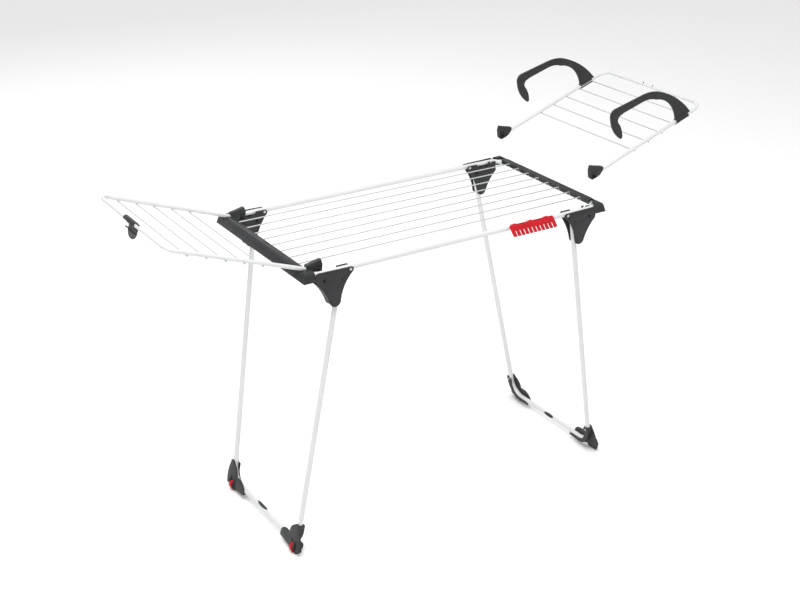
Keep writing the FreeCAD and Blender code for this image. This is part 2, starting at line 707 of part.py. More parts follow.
def hooks(pivot):
    """Each hook with the upper half of its sleeve, and the cap that closes the sleeve below."""
    half = mm("hook_thickness") / 2
    tilt = math.radians(mm("wing_tilt"))
    way = Vector(math.cos(tilt), 0, math.sin(tilt))
    bore = cylinder(mm("wing_radius") + CLEAR, tuple(way * 200), tuple(way * 450))
    for end, sign in ENDS.items():
        strap = prism(HOOK, -half, half).cut(bore)
        lower = Part.makeBox(300, 40, 60, Vector(250, -20, -59.6))
        lower.rotate(Vector(0, 0, 0), Y_AXIS, -mm("wing_tilt"))
        strap = strap.cut(lower)
        hook = strap.fuse(hook_sleeve(1, sign)).removeSplitter()
        at = (pivot[0], sign * mm("wing_half_width"), pivot[2])
        feature(hook, f"hook_{end}", at)
        feature(hook_sleeve(-1, sign), f"hook_cap_{end}", at)


# ---------------------------------------------------------------- legs and feet


def leg_points(side):
    """Corners of one U-leg, drawn hanging straight down from the pivot axis."""
    length = leg_length(side)
    top, foot = mm("frame_half_width"), mm("leg_foot_half_width")
    rise = 10.0
    lean = (top - foot) / length
    top += rise * lean
    return [(0, -top, rise), (0, -foot, -length), (0, foot, -length), (0, top, rise)]


def leg_length(side):
    return mm("leg_drop") / math.cos(math.radians(mm(f"{side}_splay")))


def leg_place(side, out):
    """Pivot and turn that carry a leg drawn straight down to its spread place."""
    pivot = (out * mm("leg_pivot_x"), 0, mm("leg_pivot_z"))
    return pivot, Rotation(Y_AXIS, -out * mm(f"{side}_splay"))


def leg_tube(side, out):
    name = f"{side}_leg_tube"
    tube = bent_tube(name + "_bent", leg_points(side), "leg_bend_radius", "rail_radius", "rail_wall")
    holes = []
    for end, sign in ENDS.items():
        start = (0, sign * mm("frame_half_width") - 12, 0)
        holes.append(rod(f"{name}_{end}_hole", "Sizes.pin_radius + Sizes.fit_gap", "24", start, (0, 1, 0)))
        y, z = foot_screw_at(side)
        start = (-12, sign * y, z)
        holes.append(rod(f"{name}_{end}_screw_hole", str(FOOT_SCREW_HOLE), "24", start, (1, 0, 0)))
    pivot, turn = leg_place(side, out)
    sub_part(drilled(tube, name, holes), name, pivot, turn)


def leg_plugs(side, out):
    """Plastic plugs in the leg tops that the pivot pins run in."""
    radius = mm("rail_radius") - mm("rail_wall") - mm("fit_gap")
    top, foot = mm("frame_half_width"), mm("leg_foot_half_width")
    lean = (top - foot) / leg_length(side)
    solids = []
    for sign in ENDS.values():
        start = (0, sign * (top + 9.5 * lean), 9.5)
        end = (0, sign * (top - 16 * lean), -16)
        plug = cylinder(radius, start, end)
        hole = cylinder(mm("pin_radius") + mm("fit_gap"), (0, sign * top - 12, 0), (0, sign * top + 12, 0))
        solids.append(plug.cut(hole))
    pivot, turn = leg_place(side, out)
    feature(Part.makeCompound(solids), f"{side}_leg_plugs", pivot, turn)


def foot_path(side):
    """Tube axis through one foot, from up the leg to along the crossbar, for Y above 0."""
    length, foot = leg_length(side), mm("leg_foot_half_width")
    lean = (mm("frame_half_width") - foot) / length
    return [(0, foot + mm("foot_rise") * lean, mm("foot_rise") - length), (0, foot, -length),
            (0, foot - mm("foot_run"), -length)]


def foot_core(side):
    """The leg tube's room through a foot, run on past both its ends."""
    radius, past = mm("rail_radius") + SMALL, 25
    points = [Vector(*p) for p in foot_path(side)]
    path = bent_path(points, mm("leg_bend_radius"))
    up = (points[0] - points[1]).normalize()
    core = path.makePipeShell([Part.Wire(Part.makeCircle(radius, points[0], up))], True, False)
    top = Part.makeCylinder(radius, past, points[0], up)
    bottom = Part.makeCylinder(radius, past, points[2], Vector(0, -1, 0))
    return core.fuse([top, bottom])


def foot_channel(side, depth):
    """Wall round the outer side of the bend, from the leg's plane out to depth, for Y above 0."""
    points = [Vector(*p) for p in foot_path(side)]
    path = bent_path(points, mm("leg_bend_radius"))
    outward = Vector(1, 0, 0).cross(points[1] - points[0]).normalize()
    reach = outward * (mm("rail_radius") + mm("foot_wall"))
    low, high = sorted((math.copysign(SMALL, depth), depth))
    near, far = Vector(low, 0, 0), Vector(high, 0, 0)
    corners = [points[0] + near, points[0] + reach + near, points[0] + reach + far, points[0] + far]
    return path.makePipeShell([Part.makePolygon(corners + corners[:1])], True, False)


# cheeks of a foot in the leg's plane: Y and height above the floor, for Y above 0
OUTER_CHEEK = [
    (129, 18), (129.5, 30), (141, 49, VIA), (158, 56), (172, 57), (183, 55), (189, 78, VIA), (207, 93),
    (214, 99, VIA), (226, 100), (241, 70, VIA), (248, 30), (246, 12), (205, 10), (160, 15),
]
INNER_CHEEK = [
    (207, 92), (209.7, 64.5), (201, 46.5), (188.5, 33), (171.5, 26), (146, 29), (128, 29), (118, 21),
    (142, 20), (167, 16.5), (191, 20), (207.5, 30), (215, 33), (219, 56), (220, 92),
]
FOOT_SCREW_RISE = 60.0  # corner of the leg's axis up to the screw through its foot
FOOT_SCREW_HOLE = 1.8


def cheek(side, outline, low, high):
    """A flat cheek in a leg's own frame, from an outline that gives heights above the floor."""
    lean = math.cos(math.radians(mm(f"{side}_splay")))
    pivot_z = mm("leg_pivot_z")
    points = [(p[0], (p[1] - pivot_z) / lean, *p[2:]) for p in outline]
    return side_prism(points, low, high)


def feet(side, out):
    """Outer and inner shell of each foot, clamped round the bend; the outer one stands on the floor."""
    depth, face = mm("foot_depth"), mm("rail_radius") + SMALL
    pivot, turn = leg_place(side, out)
    stand = Placement(Vector(*pivot), turn)
    core = foot_core(side)
    outer_plate = cheek(side, OUTER_CHEEK, *sorted((out * face, out * depth)))
    inner_plate = cheek(side, INNER_CHEEK, *sorted((-out * face, -out * (depth - 1))))
    outer = foot_channel(side, out * depth).fuse(outer_plate).cut(core)
    inner = foot_channel(side, -out * (depth - 1)).fuse(inner_plate).cut(core)
    outer.Placement, inner.Placement, core.Placement = stand, stand, stand
    floor_pad = foot_pad(side, out)
    outer, inner = outer.fuse(floor_pad).cut(core), inner.cut(floor_pad)
    if side == "left":
        room = wheel_room(out)
        outer, inner = outer.cut(room), inner.cut(room)
    ground = block((-2000, -1000, -100), (2000, 1000, 0))
    hole = foot_screw(side, out, FOOT_SCREW_HOLE, 0.0)
    hole.Placement = stand
    outer, inner = (solid.cut(ground).cut(hole) for solid in (outer, inner))
    screw = foot_screw(side, out, 1.7, 3.4)
    for end_name, sign in ENDS.items():
        for kind, solid in (("outer", outer), ("inner", inner)):
            if sign < 0:
                solid = mirrored(solid, (0, 1, 0))
            feature(solid.removeSplitter(), f"{side}_foot_{end_name}_{kind}")
    feature(Part.makeCompound([screw, mirrored(screw, (0, 1, 0))]), f"{side}_foot_screws", pivot, turn)


def foot_screw_at(side):
    """Y and Z of the screw of the foot with Y above 0, in the leg's own frame."""
    length, foot = leg_length(side), mm("leg_foot_half_width")
    return foot + FOOT_SCREW_RISE * (mm("frame_half_width") - foot) / length, FOOT_SCREW_RISE - length


def foot_screw(side, out, shank, head):
    """Screw of one foot in the leg's own frame, or its hole when it has no head."""
    y, z = foot_screw_at(side)
    inner_face, tip = -out * (mm("foot_depth") - 1), out * (mm("foot_depth") - 1.5)
    if not head:
        return cylinder(shank, (inner_face * 2, y, z), (tip + out * 0.1, y, z))
    solid = cylinder(shank, (inner_face, y, z), (tip, y, z))
    return solid.fuse(cylinder(head, (inner_face - out * 1.2, y, z), (inner_face, y, z))).removeSplitter()


def crossbar_x(side, out):
    """X of a leg's crossbar axis when spread."""
    return out * (mm("leg_pivot_x") + mm("leg_drop") * math.tan(math.radians(mm(f"{side}_splay"))))


# floor pad of a right foot: its flare outward from the crossbar axis and its spread along Y, with height
HEEL_FLARE = [(8, 52), (12, 52), (29, 4), (29, 0), (21, 0), (8, 30)]
HEEL_SPREAD = [(190, 0), (229, 0), (246, 30), (243, 52), (190, 52)]
FORK_SIDES = {"inner": (196.5, 202.5), "outer": (217.5, 225.5)}  # cheeks of a wheel's fork along Y


def foot_pad(side, out):
    """Floor pad of one foot for Y above 0: a wheel fork on the left, a flared heel on the right."""
    bar = crossbar_x(side, out)
    if side == "right":
        flare = prism([(bar + out * n, z) for n, z in HEEL_FLARE], 180, 250)
        return flare.common(side_prism(HEEL_SPREAD, *sorted((bar, bar + out * 40))))
    x, z = bar + out * mm("wheel_out"), mm("wheel_height")
    inner_low, inner_high = FORK_SIDES["inner"]
    low, high = FORK_SIDES["outer"]
    disc_x, disc_z = x - out * 4, z + 7
    inner_radius, disc_radius, pad_half, neck_height = 15.0, 18.0, 10.5, 26.0
    inner = cylinder(inner_radius, (x, inner_low, z), (x, inner_high, z))
    outer = cylinder(disc_radius, (disc_x, low, disc_z), (disc_x, high, disc_z))
    pad_block = block((disc_x - pad_half, low, 0), (disc_x + pad_half, high, disc_z))
    neck = sorted((bar + out * 9, bar + out * 13))
    necks = [block((neck[0], y[0], z), (neck[1], y[1], z + neck_height)) for y in FORK_SIDES.values()]
    return outer.fuse([inner, pad_block] + necks)


def wheel_room(out):
    """Space in a fork for a wheel and its axle, for Y above 0."""
    x = crossbar_x("left", out) + out * mm("wheel_out")
    z, y = mm("wheel_height"), mm("wheel_from_middle")
    half = mm("wheel_width") / 2 + 0.5
    room = cylinder(mm("wheel_radius") + 1.0, (x, y - half, z), (x, y + half, z))
    hole = cylinder(mm("axle_radius"), (x, y - 20, z), (x, y + 20, z))
    return room.fuse(hole)


def wheels_and_axles():
    """Transport wheels under the bends of the left feet."""
    x = crossbar_x("left", -1) - mm("wheel_out")
    z, half = mm("wheel_height"), mm("wheel_width") / 2
    groove_depth, groove_inner, groove_outer = 1.5, 8.0, 13.0
    axles = []
    for end, sign in ENDS.items():
        y = sign * mm("wheel_from_middle")
        wheel = cylinder(mm("wheel_radius"), (x, y - half, z), (x, y + half, z))
        wheel = wheel.cut(cylinder(mm("axle_radius") + mm("fit_gap"), (x, y - half, z), (x, y + half, z)))
        for low, high in ((half - groove_depth, half), (-half, groove_depth - half)):
            wheel = wheel.cut(ring(groove_inner, groove_outer, (x, y + low, z), (x, y + high, z)))
        feature(wheel, f"left_wheel_{end}")
        axles.append(rod(f"axle_{end}", "Sizes.axle_radius", "30", (x, y - sign * 15, z), (0, sign, 0)))
    group(axles, "left_wheel_axles")


# bumpers on the crossbars: middle along Y, half length, degrees above the inboard side
CROSSBAR_CLIP = {"left": (18.0, 30.0, 78.0), "right": (0.0, 24.0, 42.0)}


def crossbar_clip(side, out):
    """Leaf-shaped bumper on the upper inboard side of a crossbar, which the other leg folds against."""
    x, z = crossbar_x(side, out), mm("leg_pivot_z") - mm("leg_drop")
    middle, half, rise = CROSSBAR_CLIP[side]
    bore, outer, half_height = mm("rail_radius") + SMALL, mm("rail_radius") + 3.0, 5.5
    shell = ring(bore, outer, (0, -half, 0), (0, half, 0))
    leaf = Part.makeCylinder(1.0, 20.0)
    squash = FreeCAD.Matrix()
    squash.scale(half, half_height, 1.0)
    leaf = leaf.transformGeometry(squash)
    leaf.rotate(Vector(0, 0, 0), Z_AXIS, 90)
    leaf.rotate(Vector(0, 0, 0), Y_AXIS, -out * (90 - rise))
    solid = shell.common(leaf)
    feature(solid, f"{side}_crossbar_clip", (x, middle, z))


# ---------------------------------------------------------------- sock holder


def sock_holder():
    """Sloping comb plate with clips that slide on the front rail."""
    length = mm("holder_length")
    bore = mm("rail_radius") + CLEAR
    slope = 45.0
    teeth, slot_width, slot_depth = 10, 4.0, 17.0
    wall, corner = 2.4, 6.0
    stand_off = bore + wall + 0.4
    low_edge, high_edge = -36.5, 3.0
    plate = block((-length / 2, low_edge, 0), (length / 2, high_edge, wall))
    plate = plate.makeFillet(corner, [e for e in plate.Edges if abs(e.tangentAt(e.FirstParameter).z) > 0.9])
    pitch = length / (teeth + 1)
    for n in range(teeth):
        x = (n + 1) * pitch - length / 2
        slot_top = low_edge + slot_depth
        slot = block((x - slot_width / 2, low_edge - 10, -1), (x + slot_width / 2, slot_top, 4))
        plate = plate.cut(slot.fuse(cylinder(slot_width / 2, (x, slot_top, -1), (x, slot_top, 4))))
    plate.translate(Vector(0, 0, stand_off))
    plate.rotate(Vector(0, 0, 0), Vector(1, 0, 0), slope)
    clip_half, mouth_half, mouth_turn, rib_low = 6.0, 4.5, 152.0, -6.0
    clips = []
    for x in (-60.0, 0.0, 60.0):
        clip = ring(bore, bore + wall, (x - clip_half, 0, 0), (x + clip_half, 0, 0))
        mouth = block((x - 10, -mouth_half, -30), (x + 10, mouth_half, 0))
        mouth.rotate(Vector(0, 0, 0), Vector(1, 0, 0), mouth_turn)
        rib = block((x - clip_half, rib_low, bore + 0.5), (x + clip_half, high_edge, stand_off))
        rib.rotate(Vector(0, 0, 0), Vector(1, 0, 0), slope)
        clips.append(clip.cut(mouth).fuse(rib))
    solid = plate.fuse(clips).removeSplitter()
    feature(solid, "sock_holder", (mm("holder_x"), -mm("frame_half_width"), mm("rail_height")))


# ---------------------------------------------------------------- the whole rack

frame_tubes()
tube_joiners()
frame_wires()
for side, out in SIDES.items():
    end_bar(side, out)
    for end, sign in ENDS.items():
        leg_bracket(side, out, end, sign)
bracket_fasteners()

lean = math.radians(mm("lift_lean"))
lift = Vector(math.sin(lean), 0, math.cos(lean)) * mm("lift_travel")
pivots = {"left": wing_line(-1, 0), "right": wing_line(1, 0) + lift}
wing_pins("left", -1)
wing_pins("right", 1, tuple(lift))
for side, out in SIDES.items():
    pivot = tuple(pivots[side])
    wing_tube(side, out, pivot)
    wing_wires(side, out, pivot)
    clip_rivets(side, out, pivot)
    for end, sign in ENDS.items():
        wing_clip(side, out, end, sign, pivot)
wing_latch()
bar_plugs(tuple(pivots["right"]))
hooks(tuple(pivots["right"]))

for side, out in SIDES.items():
    leg_tube(side, out)
    leg_plugs(side, out)
    feet(side, out)
    crossbar_clip(side, out)
wheels_and_axles()
sock_holder()

doc.recompute()
checked(made)
os.makedirs("parts", exist_ok=True)
for obj in made:
    obj.Shape.exportStep(f"parts/{obj.Label}.step")
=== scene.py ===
import json
import math
import random

import bpy
from mathutils import Matrix, Vector, noise

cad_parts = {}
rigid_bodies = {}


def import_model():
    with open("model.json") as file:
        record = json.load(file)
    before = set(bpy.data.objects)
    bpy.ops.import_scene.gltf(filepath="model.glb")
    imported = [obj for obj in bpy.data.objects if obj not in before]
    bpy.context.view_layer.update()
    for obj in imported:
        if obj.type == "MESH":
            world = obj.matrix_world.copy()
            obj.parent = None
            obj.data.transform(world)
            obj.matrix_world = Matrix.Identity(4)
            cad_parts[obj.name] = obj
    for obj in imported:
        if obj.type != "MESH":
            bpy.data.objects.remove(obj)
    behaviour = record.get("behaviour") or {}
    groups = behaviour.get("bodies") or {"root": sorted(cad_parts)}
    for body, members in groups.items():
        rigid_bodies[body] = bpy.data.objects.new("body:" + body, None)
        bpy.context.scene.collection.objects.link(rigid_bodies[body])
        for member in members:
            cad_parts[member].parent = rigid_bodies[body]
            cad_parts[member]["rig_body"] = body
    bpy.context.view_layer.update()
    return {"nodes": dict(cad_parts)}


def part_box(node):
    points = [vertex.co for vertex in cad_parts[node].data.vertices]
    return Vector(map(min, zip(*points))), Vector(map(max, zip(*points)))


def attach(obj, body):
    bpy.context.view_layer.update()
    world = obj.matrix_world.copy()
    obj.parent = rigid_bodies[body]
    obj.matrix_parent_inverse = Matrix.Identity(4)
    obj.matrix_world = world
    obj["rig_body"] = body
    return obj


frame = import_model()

# A folding clothes drying rack: finishes, moulded edges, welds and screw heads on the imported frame.
NODES = frame["nodes"]
MM = 0.001


def is_dark(name):
    """True for the small metal pieces with a blackened finish."""
    return name.endswith(("wing_pins", "wing_rivets", "bar_plugs", "bracket_screws", "leg_pivot_pins"))


# ---------------------------------------------------------------- materials


class Shader:
    """A Principled material with short ways to add nodes."""

    def __init__(self, name):
        self.material = bpy.data.materials.new(name)
        self.material.use_nodes = True
        self.nodes = self.material.node_tree.nodes
        self.links = self.material.node_tree.links
        self.principled = self.nodes["Principled BSDF"]
        self.place = self.add("ShaderNodeTexCoord").outputs["Object"]

    def add(self, kind, **settings):
        node = self.nodes.new(kind)
        for key, value in settings.items():
            setattr(node, key, value)
        return node

    def put(self, value, socket):
        """A number, a colour or another node's output into a socket."""
        if isinstance(value, bpy.types.NodeSocket):
            self.links.new(value, socket)
        else:
            socket.default_value = value

    def noise(self, scale, detail=2.0, stretch=None):
        node = self.add("ShaderNodeTexNoise")
        place = self.place
        if stretch:
            mapping = self.add("ShaderNodeMapping")
            mapping.inputs["Scale"].default_value = stretch
            self.put(place, mapping.inputs["Vector"])
            place = mapping.outputs["Vector"]
        self.put(place, node.inputs["Vector"])
        node.inputs["Scale"].default_value = scale
        node.inputs["Detail"].default_value = detail
        return node.outputs["Fac"]

    def ranged(self, value, low, high, to_low, to_high):
        node = self.add("ShaderNodeMapRange", clamp=True)
        for socket, item in zip(node.inputs, (value, low, high, to_low, to_high)):
            self.put(item, socket)
        return node.outputs["Result"]

    def math(self, operation, first, second):
        node = self.add("ShaderNodeMath", operation=operation)
        self.put(first, node.inputs[0])
        self.put(second, node.inputs[1])
        return node.outputs["Value"]

    def mix(self, amount, first, second):
        node = self.add("ShaderNodeMix", data_type="RGBA")
        self.put(amount, node.inputs["Factor"])
        self.put(first, node.inputs["A"])
        self.put(second, node.inputs["B"])
        return node.outputs["Result"]

    def edges(self, radius):
        """From 0 on flat areas to 1 on convex and concave edges."""
        rounded = self.add("ShaderNodeBevel", samples=4)
        rounded.inputs["Radius"].default_value = radius
        flat = self.add("ShaderNodeNewGeometry").outputs["Normal"]
        dot = self.add("ShaderNodeVectorMath", operation="DOT_PRODUCT")
        self.put(rounded.outputs["Normal"], dot.inputs[0])
        self.put(flat, dot.inputs[1])
        return self.ranged(dot.outputs["Value"], 0.98, 0.75, 0.0, 1.0)

    def bump(self, height, depth, below=None):
        node = self.add("ShaderNodeBump")
        node.inputs["Distance"].default_value = depth
        node.inputs["Strength"].default_value = 1.0
        self.put(height, node.inputs["Height"])
        if below:
            self.put(below, node.inputs["Normal"])
        return node.outputs["Normal"]

    def finish(self, colour, roughness, normal, **fixed):
        inputs = self.principled.inputs
        self.put(colour, inputs["Base Color"])
        self.put(roughness, inputs["Roughness"])
        self.put(normal, inputs["Normal"])
        for key, value in fixed.items():
            inputs[key.replace("_", " ")].default_value = value
        return self.material


def tinted(colour, factor):
    """The colour made lighter or darker, with an alpha of 1."""
    return tuple(c * factor for c in colour) + (1.0,)


def coating(name, colour, peel_scale, peel_depth):
    """Baked or dipped white coating: orange peel, faint clouding, and greyed edges."""
    s = Shader(name)
    cloud = s.noise(scale=7.0, detail=3.0)
    base = s.mix(s.ranged(cloud, 0.35, 0.65, 0.0, 1.0), tinted(colour, 0.965), tinted(colour, 1.0))
    specks = s.ranged(s.noise(scale=420.0, detail=1.0), 0.70, 0.78, 0.0, 0.35)
    base = s.mix(specks, base, tinted(colour, 0.90))
    patches = s.ranged(s.noise(scale=260.0, detail=3.0), 0.45, 0.62, 0.1, 0.8)
    worn = s.math("MULTIPLY", s.edges(0.7 * MM), patches)
    base = s.mix(worn, base, tinted(colour, 0.80))
    rough = s.ranged(s.noise(scale=55.0), 0.3, 0.7, 0.27, 0.40)
    peel = s.bump(s.noise(scale=peel_scale), peel_depth)
    waves = s.bump(cloud, 0.10 * MM, peel)
    return s.finish(base, rough, waves, Coat_Weight=0.25, Coat_Roughness=0.12)


def moulded(name, colour, wear_colour, rough_low, rough_high, grain_depth):
    """Moulded plastic: spark-eroded grain, flow clouding, rubbed edges and a few scuffs."""
    s = Shader(name)
    cloud = s.ranged(s.noise(scale=16.0, detail=4.0), 0.3, 0.7, 0.0, 1.0)
    base = s.mix(cloud, tinted(colour, 0.84), tinted(colour, 1.14))
    streaks = s.noise(scale=40.0, detail=3.0, stretch=(1.0, 0.25, 3.0))
    flow = s.ranged(streaks, 0.55, 0.75, 0.0, 0.35)
    base = s.mix(flow, base, tinted(colour, 1.35))
    patches = s.ranged(s.noise(scale=190.0, detail=3.0), 0.40, 0.60, 0.15, 0.85)
    worn = s.math("MULTIPLY", s.edges(0.9 * MM), patches)
    base = s.mix(worn, base, tinted(wear_colour, 1.0))
    scuffs = s.ranged(s.noise(scale=120.0, stretch=(6.0, 0.6, 1.0)), 0.66, 0.74, 0.0, 1.0)
    unevenness = s.math("ADD", s.noise(scale=70.0, detail=3.0), s.math("MULTIPLY", scuffs, 0.3))
    rough = s.ranged(unevenness, 0.3, 0.9, rough_low, rough_high)
    grain = s.bump(s.noise(scale=2600.0), grain_depth)
    dents = s.bump(s.noise(scale=600.0), 0.5 * grain_depth, grain)
    return s.finish(base, rough, dents, Specular_IOR_Level=0.25)


def metal(name, colour, rough):
    """Turned steel with fine tool marks and a slightly uneven plating."""
    s = Shader(name)
    cloud = s.ranged(s.noise(scale=320.0, detail=3.0), 0.3, 0.7, 0.0, 1.0)
    base = s.mix(cloud, tinted(colour, 0.80), tinted(colour, 1.08))
    rubbed = s.ranged(s.noise(scale=700.0), 0.4, 0.6, 0.0, 0.8)
    dull = s.math("MULTIPLY", s.edges(0.4 * MM), rubbed)
    base = s.mix(dull, base, tinted(colour, 1.5))
    marks = s.noise(scale=1500.0, stretch=(1.0, 4.0, 1.0))
    uneven_rough = s.ranged(marks, 0.3, 0.7, rough - 0.08, rough + 0.1)
    return s.finish(base, uneven_rough, s.bump(marks, 0.02 * MM), Metallic=1.0)


def floor_finish():
    """Matt white paper, very slightly clouded."""
    s = Shader("floor_white")
    white = (1.0, 1.0, 1.0)
    base = s.mix(s.noise(scale=1.5, detail=3.0), tinted(white, 0.985), tinted(white, 0.995))
    rough = s.ranged(s.noise(scale=8.0), 0.3, 0.7, 0.75, 0.85)
    return s.finish(base, rough, s.bump(s.noise(scale=300.0), 0.02 * MM))


FINISH = {
    "coated_tube": coating("white_powder_coat", (0.66, 0.665, 0.67), 900.0, 0.035 * MM),
    # painted shade: the wires' white coating is a darker grey than the tubes', standing in for the shade on
    # the thin wires; the welds on them get it too
    "coated_wire": coating("painted_shade_wire_coat", (0.48, 0.485, 0.49), 1500.0, 0.02 * MM),
    "dark_plastic": moulded(
        "anthracite_plastic", (0.028, 0.0285, 0.030), (0.080, 0.080, 0.084), 0.42, 0.60, 0.05 * MM
    ),
    "red_plastic": moulded("red_plastic", (0.50, 0.002, 0.010), (0.58, 0.02, 0.03), 0.28, 0.46, 0.03 * MM),
    "white_cap": moulded("white_cap_plastic", (0.78, 0.78, 0.77), (0.86, 0.86, 0.85), 0.40, 0.55, 0.03 * MM),
    "steel_pin": metal("zinc_steel", (0.55, 0.55, 0.56), 0.33),
}
BLACK_STEEL = metal("black_steel", (0.025, 0.025, 0.028), 0.42)


def slot_of(name):
    """The finish of a CAD node, from its name."""
    if name.endswith("wires"):
        # the wires' darker grey coat is painted shade
        return "coated_wire"
    if name.endswith("tube"):
        return "coated_tube"
    if name.endswith(("axles", "pins", "rivets", "screws", "joiners", "bar_plugs")):
        return "steel_pin"
    if name.endswith("leg_plugs"):
        return "white_cap"
    if "wheel" in name or name == "sock_holder":
        return "red_plastic"
    return "dark_plastic"


# ---------------------------------------------------------------- smoothing and rounded edges


def smooth_group(limit):
    """Geometry nodes that shade smooth except over edges sharper than limit degrees."""
    group = bpy.data.node_groups.new("smooth_below_angle", "GeometryNodeTree")
    for way in ("INPUT", "OUTPUT"):
        group.interface.new_socket("Geometry", in_out=way, socket_type="NodeSocketGeometry")
    nodes, links = group.nodes, group.links
    start, end = nodes.new("NodeGroupInput"), nodes.new("NodeGroupOutput")
    faces, edges = nodes.new("GeometryNodeSetShadeSmooth"), nodes.new("GeometryNodeSetShadeSmooth")
    faces.domain, edges.domain = "FACE", "EDGE"
    angle, flat_enough = nodes.new("GeometryNodeInputMeshEdgeAngle"), nodes.new("FunctionNodeCompare")
    flat_enough.operation = "LESS_THAN"
    flat_enough.inputs["B"].default_value = math.radians(limit)
    faces.inputs["Shade Smooth"].default_value = True
    links.new(angle.outputs["Unsigned Angle"], flat_enough.inputs["A"])
    links.new(start.outputs[0], faces.inputs["Geometry"])
    links.new(faces.outputs["Geometry"], edges.inputs["Geometry"])
    links.new(flat_enough.outputs["Result"], edges.inputs["Shade Smooth"])
    links.new(edges.outputs["Geometry"], end.inputs[0])
    return group


SMOOTH = smooth_group(32.0)
WELD_DISTANCE = 0.004 * MM
ROUNDED_ABOVE = math.radians(40)


def dress(obj, round_edges=0.0):
    """Welds split vertices, rounds edges if asked, and smooths the shading."""
    weld = obj.modifiers.new("weld", "WELD")
    weld.merge_threshold = WELD_DISTANCE
    if round_edges:
        bevel = obj.modifiers.new("rounded", "BEVEL")
        bevel.width = round_edges
        bevel.segments = 2
        bevel.limit_method = "ANGLE"
        bevel.angle_limit = ROUNDED_ABOVE
    obj.modifiers.new("smooth", "NODES").node_group = SMOOTH


# millimetres by which each kind of CAD node's edges are rounded, by the end of its name
ROUNDING = {
    "wires": 0.7, "screws": 0.4, "rivets": 0.5, "pins": 0.5, "bar_plugs": 0.5, "axles": 0.4, "leg_plugs": 0.3,
    "holder": 0.5, "tube": 0.0, "joiners": 0.0,
}
OTHER_ROUNDING = 0.6
for name, obj in NODES.items():
    material = BLACK_STEEL if is_dark(name) else FINISH[slot_of(name)]
    for index in range(len(obj.data.materials)):
        obj.data.materials[index] = material
    if not obj.data.materials:
        obj.data.materials.append(material)
    width = next((v for key, v in ROUNDING.items() if name.endswith(key)), OTHER_ROUNDING)
    dress(obj, width * MM)


# ---------------------------------------------------------------- reading the CAD meshes


SAME_DIRECTION = 0.9995  # least cosine between the normals of one flat face
SAME_PLANE = 0.05 * MM
CLOSE_POINTS = 0.4 * MM
SHARPEST_CORNER = 1.2  # keeps an inset point from running far out of a sharp corner


def key_of(co):
    """A mesh corner's place, rounded to a micrometre so that equal corners match."""
    return tuple(round(c, 6) for c in co)


def face_outline(node, normal):
    """The longest closed outline of the flat face of a CAD node that lies furthest along normal."""
    mesh = NODES[node].data
    faces = [p for p in mesh.polygons if p.normal.dot(normal) > SAME_DIRECTION]
    furthest = max(p.center.dot(normal) for p in faces)
    follow = {}
    for p in faces:
        if p.center.dot(normal) < furthest - SAME_PLANE:
            continue
        corners = [key_of(mesh.vertices[v].co) for v in p.vertices]
        for a, b in zip(corners, corners[1:] + corners[:1]):
            if a == b:
                continue
            if a in follow.get(b, ()):
                follow[b].remove(a)
            else:
                follow.setdefault(a, []).append(b)
    loops = []
    while any(follow.values()):
        start = next(a for a, ends in follow.items() if ends)
        loop, here = [], start
        while follow.get(here):
            loop.append(Vector(here))
            here = follow[here].pop()
        loops.append(loop)
    return max(loops, key=lambda loop: sum((a - b).length for a, b in zip(loop, loop[1:] + loop[:1])))


def thinned(loop, gap):
    """The outline without points closer than gap to the one before."""
    kept = [loop[0]]
    for point in loop[1:]:
        if (point - kept[-1]).length > gap:
            kept.append(point)
    if (kept[-1] - kept[0]).length <= gap:
        kept.pop()
    return kept


def inset(loop, normal, distance):
    """The outline drawn in by distance within its plane."""
    loop = thinned(loop, CLOSE_POINTS)
    moved = []
    for before, here, after in zip(loop[-1:] + loop[:-1], loop, loop[1:] + loop[:1]):
        first = normal.cross(here - before).normalized()
        second = normal.cross(after - here).normalized()
        both = first + second
        reach = distance * 2 / max(both.length_squared, SHARPEST_CORNER)
        moved.append(here + both * reach)
    return thinned(moved, 0.5 * MM)


def islands(node):
    """Corner points of each separate solid of a CAD node."""
    mesh = NODES[node].data
    group = {}

    def root(k):
        while group[k] != k:
            k = group[k]
        return k

    for p in mesh.polygons:
        corners = [key_of(mesh.vertices[v].co) for v in p.vertices]
        for k in corners:
            group.setdefault(k, k)
        for k in corners[1:]:
            group[root(k)] = root(corners[0])
    found = {}
    for k in group:
        found.setdefault(root(k), []).append(Vector(k))
    return list(found.values())


def corners_of(points):
    """Lowest and highest corners of the box round some points."""
    low = Vector([min(p[i] for p in points) for i in range(3)])
    high = Vector([max(p[i] for p in points) for i in range(3)])
    return low, high


# ---------------------------------------------------------------- new pieces


def own_piece(obj, body, material):
    """Gives a new piece its finish and the body that it rides on."""
    obj.data.materials.append(material)
    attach(obj, body)


def bead(name, loops, radius, body, slot, closed=True):
    """Raised moulded line of round section, one run for each list of points."""
    curve = bpy.data.curves.new(name, "CURVE")
    curve.dimensions = "3D"
    curve.bevel_depth = radius
    curve.bevel_resolution = 2
    curve.use_fill_caps = not closed
    for loop in loops:
        spline = curve.splines.new("POLY")
        spline.points.add(len(loop) - 1)
        for point, co in zip(spline.points, loop):
            point.co = (*co, 1.0)
        spline.use_cyclic_u = closed
        spline.use_smooth = True
    obj = bpy.data.objects.new(name, curve)
    bpy.context.scene.collection.objects.link(obj)
    own_piece(obj, body, FINISH[slot])


def rim(node, normals, distance, radius):
    """A raised line just inside the outline of flat faces of a CAD node."""
    ways = [Vector(n).normalized() for n in normals]
    loops = [inset(face_outline(node, way), way, distance) for way in ways]
    bead(f"{node}_rim", loops, radius, NODES[node]["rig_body"], slot_of(node))


